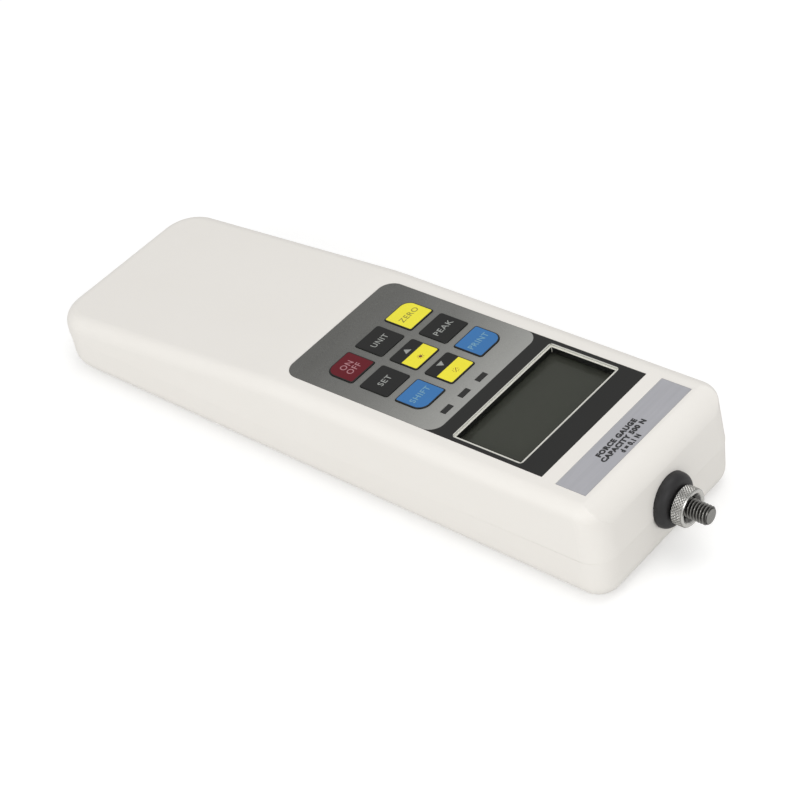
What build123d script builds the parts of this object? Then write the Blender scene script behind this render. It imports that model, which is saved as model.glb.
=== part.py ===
from build123d import *
from math import cos, radians, sin, tan
import os

# Hand-held digital force gauge: a two-shell moulded housing with a membrane keypad and a
# liquid crystal display, an S-beam load cell on a metal chassis, and a measuring shaft that
# comes out of the end face as a threaded stud.
# Frame: X runs along the measuring axis and points out of the stud, Y runs across the gauge,
# Z is up from the flat back at Z = 0. The origin is under the middle of the whole gauge.
# All lengths are millimetres and all angles are degrees.

# Whole gauge
OVERALL_LENGTH = 230.0  # handle end to the tip of the stud
WIDTH = 66.0
STUD_REACH = 13.6  # tip of the stud beyond the end face
AXIS_Z = 16.5  # height of the measuring axis above the back

# Upper surface: a handle that falls away from a nearly level control panel
KINK_INSET = 122.3  # from the end face to where handle and panel would meet unblended
KINK_Z = 30.7
PANEL_RISE = 1.8
HANDLE_FALL = 6.5
KINK_BLEND_R = 110.0

# Moulded form
WALL = 2.5
CORNER_R_HANDLE = 12.0
CORNER_R_STUD = 8.0
TOP_EDGE_R = 4.5
BACK_EDGE_R = 6.3
ROLL_OFF_R = 8.0  # between the control panel and the end face
ROLL_RELIEF = 0.02  # the roll-off starts this far outside the flat faces
TOP_DRAFT = 1.0
BACK_DRAFT = 2.0
END_LEAN = 5.0  # of the end face, above the parting line

# Parting line between the shells, which has the same kink as the upper surface
SEAM_Z_HANDLE = 13.9
SEAM_Z_KINK = 12.6
SEAM_Z_STUD = 16.2
SEAM_GAP = 0.15
TONGUE_HEIGHT = 1.5
TONGUE_CLEAR = 0.12

# Keypad overlay, in panel coordinates: U along the panel, V across it, W out of it
PANEL_INSET = 72.8  # of the panel's centre from the end face
OVERLAY_LENGTH = 96.8
OVERLAY_WIDTH = 50.4
OVERLAY_THICK = 0.5
OVERLAY_CORNER_R = 5.0
OVERLAY_CLEAR = 0.1

# Keys
KEY_NAMES = (
    ("key_zero", "key_unit", "key_power"),
    ("key_peak", "key_up", "key_set"),
    ("key_print", "key_down", "key_shift"),
)
KEY_FIRST_U = -31.3
KEY_FIRST_V = 14.15
KEY_PITCH_U = 13.45
KEY_PITCH_V = 13.95
KEY_LENGTH = 10.8
KEY_WIDTH = 11.2
KEY_CORNER_R = 0.9
KEY_OUTER_CORNER_R = 3.6  # on the keys at the corners of the block
KEY_PROUD = 0.3
KEY_TRAVEL = 0.35
KEY_GAP = 0.12
KEY_FLOOR_CLEAR = 0.15  # left under a key that is fully down
KEY_STEM_R = 1.8
KEY_STEM_CLEAR = 0.25
KEY_REST_GAP = 0.45  # between a key's stem and its switch at rest

# Indicator lamps
LAMP_U = 6.5
LAMP_FIRST_V = -14.9
LAMP_PITCH_V = 8.15
LAMP_COUNT = 3
LAMP_LENGTH = 1.9
LAMP_WIDTH = 4.0
LAMP_CLEAR = 0.1

# Display
DISPLAY_U = 27.65
DISPLAY_LENGTH = 24.5
DISPLAY_WIDTH = 46.9
DISPLAY_LEDGE = 0.6  # ledge in the housing that the clear window rests on
WINDOW_CLEAR = 0.08
GLASS_MARGIN_U = 2.2
GLASS_MARGIN_V = 2.0
GLASS_THICK = 2.8
GLASS_CLEAR = 0.15  # round the glass, inside its frame
FRAME_THICK = 0.5
FRAME_GAP = 0.05  # between the frame and the shell or the board
FRAME_REVEAL = 0.3  # of the frame's opening beyond the display's, on every side
STRIP_WIDTH = 2.0  # of the elastomer connectors
STRIP_INSET = 0.4

# Main circuit board
BOARD_THICK = 1.6
BOARD_DEPTH = 7.3  # its upper face, below the panel surface
BOARD_LENGTH = 100.0
BOARD_WIDTH = 49.0
BOARD_POST_R = 2.6
BOARD_POST_INSET = 3.4
BOARD_SCREW_R = 1.2
SWITCH_SIZE = 6.0
SWITCH_HEIGHT = 3.4
SWITCH_BUTTON_R = 1.7
SWITCH_BUTTON_HEIGHT = 0.6
BOARD_CORNER_R = 2.0
BOARD_HOLE_CLEAR = 0.2
BOARD_SCREW_BITE = 4.0
BOARD_SCREW_HEAD = 1.3
CHIPS = ((-20.0, 0.0, 14.0, 14.0), (-8.0, -12.0, 8.0, 10.0))  # place, length and width
CHIP_HEIGHT = 1.8
BUZZER = (-36.0, 13.0)
BUZZER_R = 5.0
BUZZER_HEIGHT = 3.5

# Capacity label
LABEL_U = 58.7
LABEL_LENGTH = 10.2
LABEL_WIDTH = 51.4
LABEL_THICK = 0.2

# Measuring shaft, lock nut and rubber bushing
STUD_R = 3.0  # M6
STUD_CHAMFER = 0.6
SHAFT_R = 4.0  # carries the lock nut on its outer end
SHAFT_CLEAR = 0.1
BUSH_NECK_R = 6.4
BUSH_FLANGE_R = 8.5
BUSH_PROUD = 3.1
BUSH_DOME_R = 2.6  # rounds the outer flange over into its front
BUSH_SEAT_GAP = 0.02  # between the outer flange and the end face
BUSH_INNER_FLANGE_R = 8.2
BUSH_INNER_FLANGE = 2.0
BUSH_INNER_GAP = 1.0  # to the inside of the leaning end wall
NUT_R = 6.0
NUT_THICK = 4.0
NUT_GAP = 0.5
NUT_CLEAR = 0.05
NUT_MOUTH_R = 4.9
NUT_MOUTH = 1.2
SHOULDER_PROUD = 0.1  # of the shaft's shoulder beyond the nut, where the thin stud starts
SHOULDER_CHAMFER = 0.4
NUT_CHAMFER = 0.5
COLLAR_R = 6.5
COLLAR_THICK = 4.0
SHAFT_TRAVEL = 0.25
COLLAR_CLEAR = 0.1  # left between the collar and the load cell by a full push
COLLAR_ROOM = 7.55  # between the collar and the bushing
STEM_R = 3.9
STEM_LENGTH = 9.5
STEM_CLEAR = 0.08

# Load cell, with its force axis along X
CELL_LENGTH = 46.0
CELL_WIDTH = 36.0
CELL_THICK = 12.0
CELL_SLOT = 3.0
CELL_SLOT_INSET = 10.5
CELL_BRIDGE = 9.0
CELL_EYE_R = 5.0
CELL_EYE_PITCH = 11.0
CELL_EYE_SLOT = 3.0  # joins the eyes

# Chassis that ties the load cell to the stand mount
PLATE_THICK = 3.0
PLATE_WIDTH = 46.0
PLATE_TAIL = 16.0  # beyond the post, towards the handle
PLATE_NOSE = 4.0  # short of the end of the load cell
POST_THICK = 8.0
POST_WIDTH = 28.0
GUSSET_REACH = 8.0
GUSSET_THICK = 4.0
PLATE_CORNER_R = 3.0
CHASSIS_FLOOR_GAP = 0.1
MOUNT_PITCH_X = 40.0
MOUNT_PITCH_Y = 34.0
MOUNT_SETBACK = 39.0  # of the stand mount's centre from the end of the load cell
MOUNT_HOLE_R = 2.0  # M4
MOUNT_BOSS_R = 4.5
MOUNT_BOSS_TOP = 2.0  # above the plate
MOUNT_BOSS_RECESS = 0.2
MOUNT_BOSS_CLEAR = 0.15
CHASSIS_SCREW_R = 1.2
CHASSIS_SCREW_INSET = 3.4
CHASSIS_SCREW_BITE = 1.6
CHASSIS_SCREW_HEAD = 1.6
CHASSIS_SCREW_CLEAR = 0.2
BOLT_R = 3.9
BOLT_HEAD_R = 6.5
BOLT_HEAD = 4.5
BOLT_GRIP = 8.0
BOLT_POST_CLEAR = 0.2
BOLT_CELL_CLEAR = 0.05
BOLT_HOLE_EXTRA = 1.0  # depth of the hole beyond the bolt

# Battery pack
BATTERY_R = 7.1
BATTERY_EDGE_R = 0.8
BATTERY_SIDE_ROOM = 5.5  # from the ends of the cells to the side walls
BATTERY_PITCH = 14.5
BATTERY_ROOM = 7.7  # from the socket board to the tray
CHASSIS_ROOM = 6.0  # at least, from the tray to the chassis
TRAY_WALL = 1.4
TRAY_FLOOR = 0.8
TRAY_HEIGHT = 9.0
TRAY_CLEAR = 0.3
TRAY_CORNER_R = 2.0
TRAY_EDGE_R = 0.7  # under the tray, where the shell's floor curves up
TRAY_SEAT_GAP = 0.1
LINK_THICK = 0.3
LINK_WIDTH = 5.0
LINK_LAP = 2.5  # past the axis of each cell
LINK_ROOM = 0.4

# Sockets in the handle end
SOCKET_BOARD_LENGTH = 10.4
SOCKET_BOARD_WIDTH = 42.0
SOCKET_BOARD_Z = 3.0
SOCKET_BOARD_INSET = 2.6  # from the inside of the end wall
SOCKET_INSET = 1.2  # of the socket flanges, which clears the wall's draft
SOCKET_RECESS = 0.6  # of the socket mouths in the end face
DATA_Y = -6.0
DATA_RISE = 6.1  # centre of the data socket above its board
DATA_FLANGE = (30.8, 12.4)
DATA_SHELL = (16.9, 8.4)
DATA_FLANGE_THICK = 1.2
DATA_SHELL_TAPER = 1.2  # of each end of the shell, top to bottom
DATA_SHELL_CORNER_R = 1.3
DATA_CUT_CORNER_R = 1.5
DATA_BODY_EXTRA = 3.0  # height of the body beyond the shell's
STANDOFF_R = 2.6
STANDOFF_LENGTH = 2.0
STANDOFF_STEM_R = 1.5
STANDOFF_STEM = 4.0
DATA_SCREW_PITCH = 25.0
DATA_BODY_DEPTH = 8.0
JACK_Y = 16.5
JACK_RISE = 5.7
JACK_R = 4.0
JACK_BORE_R = 3.0
JACK_PIN_R = 1.0
JACK_BODY = (11.0, 9.0, 11.0)
JACK_DEPTH = 6.0  # of its bore inside the body
JACK_PIN_SET = 0.6  # of the pin behind the mouth
SOCKET_CLEAR = 0.3

# Housing screws
SCREW_R = 1.5
SCREW_HEAD_R = 2.9
SCREW_HEAD = 1.8
SCREW_HEAD_CLEAR = 0.3
SCREW_HOLE_CLEAR = 0.2
SCREW_SINK = 5.0
SCREW_INSET_HANDLE = 19.4
SCREW_INSET_STUD = 10.8
SCREW_INSET_SIDE = 10.5
SCREW_BOSS_R = 3.6
SCREW_BITE = 5.0
PILOT_SHARE = 0.8  # of a screw's radius, for the hole that it cuts its thread in
CORE_SHARE = 0.78  # of a screw's radius, under its thread
RECESS = (2.6, 0.6, 1.0)  # length, width and depth of a cross recess
RIB_THICK = 1.4
RIB_DEPTH = 3.0
RIB_COUNT = 3

# Places that follow from the sizes above
HANDLE_END_X = -OVERALL_LENGTH / 2
STUD_TIP_X = OVERALL_LENGTH / 2
END_FACE_X = STUD_TIP_X - STUD_REACH
KINK_X = END_FACE_X - KINK_INSET
PANEL_CENTRE_X = END_FACE_X - PANEL_INSET
FORM_TOP_Z = 45.0
UPPER_BASE_Z = min(SEAM_Z_HANDLE, SEAM_Z_KINK, SEAM_Z_STUD) - TONGUE_HEIGHT
LOWER_TOP_Z = max(SEAM_Z_HANDLE, SEAM_Z_KINK, SEAM_Z_STUD) + 2 * TONGUE_HEIGHT
SIDE_REACH = WIDTH  # half length of tools that cut right across the gauge
PANEL_CENTRE_Z = KINK_Z + (PANEL_CENTRE_X - KINK_X) * tan(radians(PANEL_RISE))
PANEL = Plane(
    origin=(PANEL_CENTRE_X, 0, PANEL_CENTRE_Z),
    x_dir=(cos(radians(PANEL_RISE)), 0, sin(radians(PANEL_RISE))),
    z_dir=(-sin(radians(PANEL_RISE)), 0, cos(radians(PANEL_RISE))),
)
SECTION = Plane.XZ  # side profiles are drawn here, X across and Z up
BUSH_FACE_X = END_FACE_X + BUSH_PROUD
BUSH_NECK_X = END_FACE_X - WALL - BUSH_INNER_GAP
BUSH_BACK_X = BUSH_NECK_X - BUSH_INNER_FLANGE
NUT_BACK_X = BUSH_FACE_X + NUT_GAP
COLLAR_X = BUSH_BACK_X - COLLAR_ROOM - COLLAR_THICK
CELL_END_X = COLLAR_X - SHAFT_TRAVEL - COLLAR_CLEAR
CELL_START_X = CELL_END_X - CELL_LENGTH
MOUNT_CENTRE_X = CELL_END_X - MOUNT_SETBACK
POST_X = CELL_START_X - POST_THICK / 2
PLATE_Z = WALL + CHASSIS_FLOOR_GAP
PLATE_START_X = CELL_START_X - POST_THICK - PLATE_TAIL
PLATE_END_X = CELL_END_X - PLATE_NOSE
SCREW_PLACES = (
    (HANDLE_END_X + SCREW_INSET_HANDLE, WIDTH / 2 - SCREW_INSET_SIDE),
    (END_FACE_X - SCREW_INSET_STUD, WIDTH / 2 - SCREW_INSET_SIDE),
)

# The battery pack fills the handle between the socket board and the chassis
SOCKET_BOARD_X = HANDLE_END_X + WALL + SOCKET_BOARD_INSET
BATTERY_LENGTH = WIDTH - 2 * (WALL + BATTERY_SIDE_ROOM)
BATTERY_Z = WALL + TRAY_SEAT_GAP + TRAY_FLOOR + TRAY_SEAT_GAP + BATTERY_R
TRAY_MARGIN = BATTERY_R + TRAY_CLEAR + TRAY_WALL  # from a cell's axis to the tray's outside
BATTERY_FIRST_X = SOCKET_BOARD_X + SOCKET_BOARD_LENGTH + BATTERY_ROOM + TRAY_MARGIN
BATTERY_SPAN = PLATE_START_X - CHASSIS_ROOM - TRAY_MARGIN - BATTERY_FIRST_X
CELL_COUNT = 1 + int(BATTERY_SPAN / BATTERY_PITCH)
BATTERY_LAST_X = BATTERY_FIRST_X + BATTERY_PITCH * (CELL_COUNT - 1)


def rounded_plate(length, width, thick, top, radius=0.0):
    """A flat plate with rounded corners whose upper face is at height top."""
    plate = Box(length, width, thick, align=(Align.CENTER, Align.CENTER, Align.MAX))
    if radius > 0:
        plate = fillet(plate.edges().filter_by(Axis.Z), radius)
    return Pos(0, 0, top) * plate


def side_prism(points, reach=SIDE_REACH):
    """A prism right across the gauge from a polygon of (X, Z) points."""
    profile = SECTION * make_face(Polyline(*points, close=True))
    return extrude(profile, reach, both=True)


def rod(radius, start_x, end_x, y=0.0, z=AXIS_Z):
    """A round bar along X."""
    bar = Cylinder(radius, end_x - start_x, align=(Align.CENTER, Align.CENTER, Align.MIN))
    return Pos(start_x, y, z) * Rot(0, 90, 0) * bar


def column(radius, low_z, high_z, x=0.0, y=0.0):
    """A round bar along Z."""
    bar = Cylinder(radius, high_z - low_z, align=(Align.CENTER, Align.CENTER, Align.MIN))
    return Pos(x, y, low_z) * bar


# ---- Moulded form of the housing ---------------------------------------------------------


def plan_outline(z, inset, draft_z, draft, lean):
    """The housing's outline at height z, tapered from the height draft_z."""
    shrink = abs(z - draft_z) * tan(radians(draft))
    end_shift = (z - AXIS_Z) * tan(radians(lean)) if lean else shrink
    low_x = HANDLE_END_X + inset + shrink
    high_x = END_FACE_X - inset - end_shift
    half_y = WIDTH / 2 - inset - shrink
    face = Rectangle(high_x - low_x, 2 * half_y)
    face = Pos((low_x + high_x) / 2, 0) * face
    face = fillet(face.vertices().group_by(Axis.X)[0], CORNER_R_HANDLE - inset - shrink)
    face = fillet(face.vertices().group_by(Axis.X)[-1], CORNER_R_STUD - inset - shrink)
    return Pos(0, 0, z) * face


def top_profile(inset):
    """Everything under the handle and panel surfaces, with the soft blend between them."""
    rise = tan(radians(PANEL_RISE))
    fall = tan(radians(HANDLE_FALL))
    low_x = HANDLE_END_X - WALL
    high_x = STUD_TIP_X
    handle_z = KINK_Z - (KINK_X - low_x) * fall - inset
    panel_z = KINK_Z + (high_x - KINK_X) * rise - inset
    outline = Polyline(
        (low_x, -WALL), (high_x, -WALL), (high_x, panel_z),
        (KINK_X, KINK_Z - inset), (low_x, handle_z), close=True,
    )
    face = make_face(outline)
    kink = [v for v in face.vertices() if abs(v.X - KINK_X) < 1]
    face = fillet(kink, KINK_BLEND_R)
    return extrude(SECTION * face, SIDE_REACH, both=True)


def roll_off_profile(inset):
    """Everything inside the rounded edge between the panel and the end face."""
    relief = inset - ROLL_RELIEF
    lean = tan(radians(END_LEAN))
    rise = tan(radians(PANEL_RISE))
    top_x = END_FACE_X - relief
    corner_x = (top_x + lean * (AXIS_Z - KINK_Z + relief + KINK_X * rise)) / (1 + lean * rise)
    corner_z = KINK_Z + (corner_x - KINK_X) * rise - relief
    foot_x = corner_x + lean * (corner_z + WALL)
    low_x = HANDLE_END_X - WALL
    low_z = KINK_Z - (KINK_X - low_x) * rise + WALL
    outline = Polyline(
        (low_x, -WALL), (foot_x, -WALL), (corner_x, corner_z), (low_x, low_z), close=True
    )
    face = make_face(outline)
    corner = [v for v in face.vertices() if v.X > 0 and v.Y > AXIS_Z]
    face = fillet(corner, ROLL_OFF_R - inset)
    return extrude(SECTION * face, SIDE_REACH, both=True)


def upper_form(inset):
    """Outer form of the upper shell, or its cavity when inset by the wall."""
    low = plan_outline(UPPER_BASE_Z, inset, UPPER_BASE_Z, TOP_DRAFT, END_LEAN)
    high = plan_outline(FORM_TOP_Z, inset, UPPER_BASE_Z, TOP_DRAFT, END_LEAN)
    form = loft([low, high], ruled=True) & top_profile(inset)
    rim = [
        edge
        for edge in form.edges()
        if edge.center().Z > UPPER_BASE_Z + 1
        and not is_upright(edge)
        and (abs(edge.center().Y) > 1 or abs(edge.center().X) > END_FACE_X / 2)
    ]
    form = fillet(rim, TOP_EDGE_R - inset)
    return form & roll_off_profile(inset)


def is_upright(edge):
    """True for an edge that climbs a corner of the tapered form."""
    box = edge.bounding_box().size
    return box.Z > max(box.X, box.Y)


def lower_form(inset):
    """Outer form of the lower shell, or its cavity when inset by the wall."""
    top = plan_outline(LOWER_TOP_Z, inset, LOWER_TOP_Z, BACK_DRAFT, 0)
    form = extrude(top, LOWER_TOP_Z - inset, dir=(0, 0, -1), taper=BACK_DRAFT)
    return fillet(form.edges().group_by(Axis.Z)[0], BACK_EDGE_R - inset)


def under_seam(lift):
    """Everything below the parting surface, raised by lift."""
    low_x = HANDLE_END_X - WALL
    high_x = STUD_TIP_X
    return side_prism(
        (
            (low_x, -WALL), (high_x, -WALL), (high_x, SEAM_Z_STUD + lift),
            (KINK_X, SEAM_Z_KINK + lift), (low_x, SEAM_Z_HANDLE + lift),
        )
    )


# ---- Places on the control panel ---------------------------------------------------------


def key_grid():
    """Name, panel position and block corner of every key."""
    for column_index, names in enumerate(KEY_NAMES):
        for row_index, name in enumerate(names):
            u = KEY_FIRST_U + column_index * KEY_PITCH_U
            v = KEY_FIRST_V - row_index * KEY_PITCH_V
            corner = (
                {0: -1, len(KEY_NAMES) - 1: 1}.get(column_index, 0),
                {0: 1, len(names) - 1: -1}.get(row_index, 0),
            )
            yield name, u, v, corner


def key_block(u, v, corner, grow, low, high):
    """A key's rounded square between two heights, larger by grow on every side."""
    block = Box(KEY_LENGTH + 2 * grow, KEY_WIDTH + 2 * grow, high - low)
    upright = block.edges().filter_by(Axis.Z)
    outer = [
        edge
        for edge in upright
        if corner[0] * edge.center().X > 0 and corner[1] * edge.center().Y > 0
    ]
    inner = [edge for edge in upright if edge not in outer]
    block = fillet(inner, KEY_CORNER_R + grow)
    if outer:
        middle = outer[0].center()
        near = [
            edge
            for edge in block.edges().filter_by(Axis.Z)
            if (edge.center() - middle).length < 0.01
        ]
        block = fillet(near, KEY_OUTER_CORNER_R + grow)
    return Pos(u, v, (low + high) / 2) * block


def lamp_places():
    return [(LAMP_U, LAMP_FIRST_V + LAMP_PITCH_V * index) for index in range(LAMP_COUNT)]


def board_posts():
    """Panel positions of the four posts that carry the main circuit board."""
    reach_u = BOARD_LENGTH / 2 - BOARD_POST_INSET
    reach_v = BOARD_WIDTH / 2 - BOARD_POST_INSET
    return [(u, v) for u in (-reach_u, reach_u) for v in (-reach_v, reach_v)]


def rib_places():
    """Roof ribs above the gaps between the battery cells nearest the handle end."""
    cells = sorted(battery_places())
    return [(cells[i] + cells[i + 1]) / 2 for i in range(RIB_COUNT)]


def screw_places():
    return [(x, side * y) for x, y in SCREW_PLACES for side in (-1, 1)]


def mount_places():
    half_x = MOUNT_PITCH_X / 2
    half_y = MOUNT_PITCH_Y / 2
    return [
        (MOUNT_CENTRE_X + along, across)
        for along in (-half_x, half_x)
        for across in (-half_y, half_y)
    ]


# ---- Housing shells ----------------------------------------------------------------------


def socket_cutouts():
    """Openings in the handle end for the data socket and the charging socket."""
    board_top = SOCKET_BOARD_Z + BOARD_THICK
    length = 3 * WALL
    data = Box(length, DATA_SHELL[0] + 2 * SOCKET_CLEAR, DATA_SHELL[1] + 2 * SOCKET_CLEAR)
    data = fillet(data.edges().filter_by(Axis.X), DATA_CUT_CORNER_R)
    data = Pos(HANDLE_END_X, DATA_Y, board_top + DATA_RISE) * data
    jack = rod(
        JACK_R + SOCKET_CLEAR, HANDLE_END_X - length / 2, HANDLE_END_X + length / 2,
        JACK_Y, board_top + JACK_RISE,
    )
    return data + jack


def bushing_hole():
    return rod(BUSH_NECK_R + SHAFT_CLEAR, END_FACE_X - 3 * WALL, STUD_TIP_X)


def make_top_cover():
    cavity = upper_form(WALL)
    seam = under_seam(SEAM_GAP / 2)
    outer = upper_form(0)
    shell = outer - cavity - seam
    rebate = upper_form(WALL / 2 - TONGUE_CLEAR) & under_seam(TONGUE_HEIGHT + 3 * TONGUE_CLEAR)
    shell -= rebate

    # Bosses, posts and ribs grow out of the roof and are trimmed to it
    inner = Part()
    for x, y in screw_places():
        inner += column(SCREW_BOSS_R, UPPER_BASE_Z, FORM_TOP_Z, x, y)
    for x in rib_places():
        roof_z = KINK_Z - (KINK_X - x) * tan(radians(HANDLE_FALL)) - WALL
        height = RIB_DEPTH + WALL
        rib = Box(RIB_THICK, WIDTH, height, align=(Align.CENTER, Align.CENTER, Align.MIN))
        inner += Pos(x, 0, roof_z - RIB_DEPTH) * rib
    shell += inner & cavity - seam
    for u, v in board_posts():
        height = BOARD_DEPTH - WALL
        post = Pos(u, v, -BOARD_DEPTH) * column(BOARD_POST_R, 0, height + WALL / 2)
        post -= Pos(u, v, -BOARD_DEPTH) * column(BOARD_SCREW_R * PILOT_SHARE, 0, height)
        shell += PANEL * post

    # Recesses and openings of the control panel
    shell -= PANEL * overlay_sheet(OVERLAY_CLEAR, -OVERLAY_THICK, WALL)
    shell -= PANEL * (Pos(LABEL_U, 0, 0) * label_sheet(OVERLAY_CLEAR, WALL))
    for name, u, v, corner in key_grid():
        floor = OVERLAY_THICK + KEY_TRAVEL + KEY_FLOOR_CLEAR
        shell -= PANEL * key_block(u, v, corner, KEY_GAP, -floor, WALL)
        stem_hole = Pos(u, v, 0) * column(KEY_STEM_R + KEY_STEM_CLEAR, -2 * WALL, WALL)
        shell -= PANEL * stem_hole
    for u, v in lamp_places():
        slot = rounded_plate(
            LAMP_LENGTH + 2 * LAMP_CLEAR, LAMP_WIDTH + 2 * LAMP_CLEAR, 3 * WALL, WALL
        )
        shell -= PANEL * (Pos(u, v, 0) * slot)
    ledge = 2 * DISPLAY_LEDGE
    opening = rounded_plate(DISPLAY_LENGTH - ledge, DISPLAY_WIDTH - ledge, 3 * WALL, WALL)
    shell -= PANEL * (Pos(DISPLAY_U, 0, 0) * opening)

    for x, y in screw_places():
        seam_z = seam_height(x)
        shell -= column(SCREW_R * PILOT_SHARE, seam_z - 1, seam_z + SCREW_BITE + 1, x, y)
    return shell - bushing_hole() - socket_cutouts()


def seam_height(x):
    """Height of the parting line at x."""
    if x < KINK_X:
        share = (KINK_X - x) / (KINK_X - HANDLE_END_X + WALL)
        return SEAM_Z_KINK + share * (SEAM_Z_HANDLE - SEAM_Z_KINK)
    share = (x - KINK_X) / (STUD_TIP_X - KINK_X)
    return SEAM_Z_KINK + share * (SEAM_Z_STUD - SEAM_Z_KINK)


def make_rear_cover():
    cavity = lower_form(WALL)
    tongue = (lower_form(WALL / 2) - cavity) & under_seam(TONGUE_HEIGHT)
    shell = (lower_form(0) - cavity) & under_seam(-SEAM_GAP / 2)
    shell += tongue
    inner = Part()
    for x, y in screw_places():
        inner += column(SCREW_BOSS_R, 0, LOWER_TOP_Z, x, y)
    shell += inner & under_seam(-SEAM_GAP / 2) & lower_form(WALL / 2)
    for x, y in screw_places():
        shell -= column(SCREW_HEAD_R + SCREW_HEAD_CLEAR, -1, SCREW_SINK, x, y)
        shell -= column(SCREW_R + SCREW_HOLE_CLEAR, 0, LOWER_TOP_Z, x, y)
    for x, y in mount_places():
        shell -= column(MOUNT_BOSS_R + MOUNT_BOSS_CLEAR, -1, 2 * WALL, x, y)
    for x, y in chassis_screw_places():
        shell -= column(CHASSIS_SCREW_R, WALL - CHASSIS_SCREW_BITE, 2 * WALL, x, y)
    return shell - bushing_hole() - socket_cutouts()


def make_housing_screws():
    """Self-tapping screws that clamp the shells, seated in the counterbores of the back."""
    screws = Part()
    for x, y in screw_places():
        tip = seam_height(x) + SCREW_BITE
        screw = column(SCREW_HEAD_R, SCREW_SINK - SCREW_HEAD, SCREW_SINK, x, y)
        screw = chamfer(screw.edges().group_by(Axis.Z)[0], 0.4)
        screw += column(SCREW_R * CORE_SHARE, SCREW_SINK, tip, x, y)
        slot = Pos(x, y, SCREW_SINK - SCREW_HEAD) * cross_recess()
        screws += screw - slot
    return screws


def cross_recess():
    """The recess that a cross-head driver fits, open downwards."""
    length, width, depth = RECESS
    bar = Box(length, width, 2 * depth)
    return bar + Rot(0, 0, 90) * bar


# ---- Keypad and display ------------------------------------------------------------------


def overlay_sheet(grow, low, high):
    """The overlay's outline between two heights: round at the handle side, square beyond."""
    sheet = Box(OVERLAY_LENGTH + 2 * grow, OVERLAY_WIDTH + 2 * grow, high - low)
    left = sheet.edges().filter_by(Axis.Z).group_by(Axis.X)[0]
    sheet = fillet(left, OVERLAY_CORNER_R + grow)
    return Pos(0, 0, (low + high) / 2) * sheet


def label_sheet(grow, top):
    return rounded_plate(LABEL_LENGTH + 2 * grow, LABEL_WIDTH + 2 * grow, LABEL_THICK + top, top)


def make_keypad_overlay():
    sheet = overlay_sheet(0, -OVERLAY_THICK, 0)
    for name, u, v, corner in key_grid():
        sheet -= key_block(u, v, corner, KEY_GAP, -1, 1)
    for u, v in lamp_places():
        slot = rounded_plate(LAMP_LENGTH + 2 * LAMP_CLEAR, LAMP_WIDTH + 2 * LAMP_CLEAR, 2, 1)
        sheet -= Pos(u, v, 0) * slot
    opening = rounded_plate(DISPLAY_LENGTH, DISPLAY_WIDTH, 2, 1)
    sheet -= Pos(DISPLAY_U, 0, 0) * opening
    return PANEL * sheet


def make_key(u, v, corner):
    """A raised key pad with the stem that reaches down to its switch."""
    pad = key_block(u, v, corner, 0, -OVERLAY_THICK, KEY_PROUD)
    pad = fillet(pad.edges().group_by(Axis.Z)[-1], KEY_PROUD * 0.8)
    switch_top = -BOARD_DEPTH + SWITCH_HEIGHT + SWITCH_BUTTON_HEIGHT
    stem = Pos(u, v, 0) * column(KEY_STEM_R, switch_top + KEY_REST_GAP, -OVERLAY_THICK)
    return PANEL * (pad + stem)


def make_display_window():
    clear = 2 * WINDOW_CLEAR
    window = rounded_plate(DISPLAY_LENGTH - clear, DISPLAY_WIDTH - clear, OVERLAY_THICK, 0)
    return PANEL * (Pos(DISPLAY_U, 0, 0) * window)


def make_indicator_windows():
    """Smoked light guides that fill the slots of the overlay."""
    guides = Part()
    for u, v in lamp_places():
        guide = rounded_plate(LAMP_LENGTH, LAMP_WIDTH, WALL + 0.5, 0)
        guides += PANEL * (Pos(u, v, 0) * guide)
    return guides


def make_indicator_lamps():
    """Surface-mounted lamps on the main board, one under each light guide."""
    lamps = Part()
    height = BOARD_DEPTH - WALL - 1.0
    for u, v in lamp_places():
        lamp = rounded_plate(LAMP_LENGTH, LAMP_WIDTH * 0.8, height, -BOARD_DEPTH + height)
        lamps += PANEL * (Pos(u, v, 0) * lamp)
    return lamps


def glass_size():
    return DISPLAY_LENGTH + 2 * GLASS_MARGIN_U, DISPLAY_WIDTH + 2 * GLASS_MARGIN_V


def glass_top():
    """Height of the display glass under the lip of its frame."""
    return -WALL - FRAME_THICK - 2 * FRAME_GAP


def make_lcd_glass():
    length, width = glass_size()
    glass = rounded_plate(length, width, GLASS_THICK, glass_top())
    return PANEL * (Pos(DISPLAY_U, 0, 0) * glass)


def make_lcd_frame():
    """Pressed frame that clips the display glass to the board."""
    length, width = glass_size()
    inner_u = length + 2 * GLASS_CLEAR
    inner_v = width + 2 * GLASS_CLEAR
    outer_u = inner_u + 2 * FRAME_THICK
    outer_v = inner_v + 2 * FRAME_THICK
    depth = BOARD_DEPTH - WALL
    frame = rounded_plate(outer_u, outer_v, depth - FRAME_GAP, -WALL - FRAME_GAP, 0.8)
    frame -= rounded_plate(inner_u, inner_v, depth, -WALL - FRAME_THICK)
    reveal = 2 * FRAME_REVEAL
    frame -= rounded_plate(DISPLAY_LENGTH + reveal, DISPLAY_WIDTH + reveal, 4 * WALL, 0)
    return PANEL * (Pos(DISPLAY_U, 0, 0) * frame)


def make_lcd_connectors():
    """Elastomer strips between the display glass and the board."""
    length, width = glass_size()
    low = glass_top() - GLASS_THICK
    strips = Part()
    for side in (-1, 1):
        strip = rounded_plate(STRIP_WIDTH, width - 2 * STRIP_WIDTH, BOARD_DEPTH + low, low)
        along = DISPLAY_U + side * (length / 2 - STRIP_INSET - STRIP_WIDTH / 2)
        strips += PANEL * (Pos(along, 0, 0) * strip)
    return strips


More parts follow.
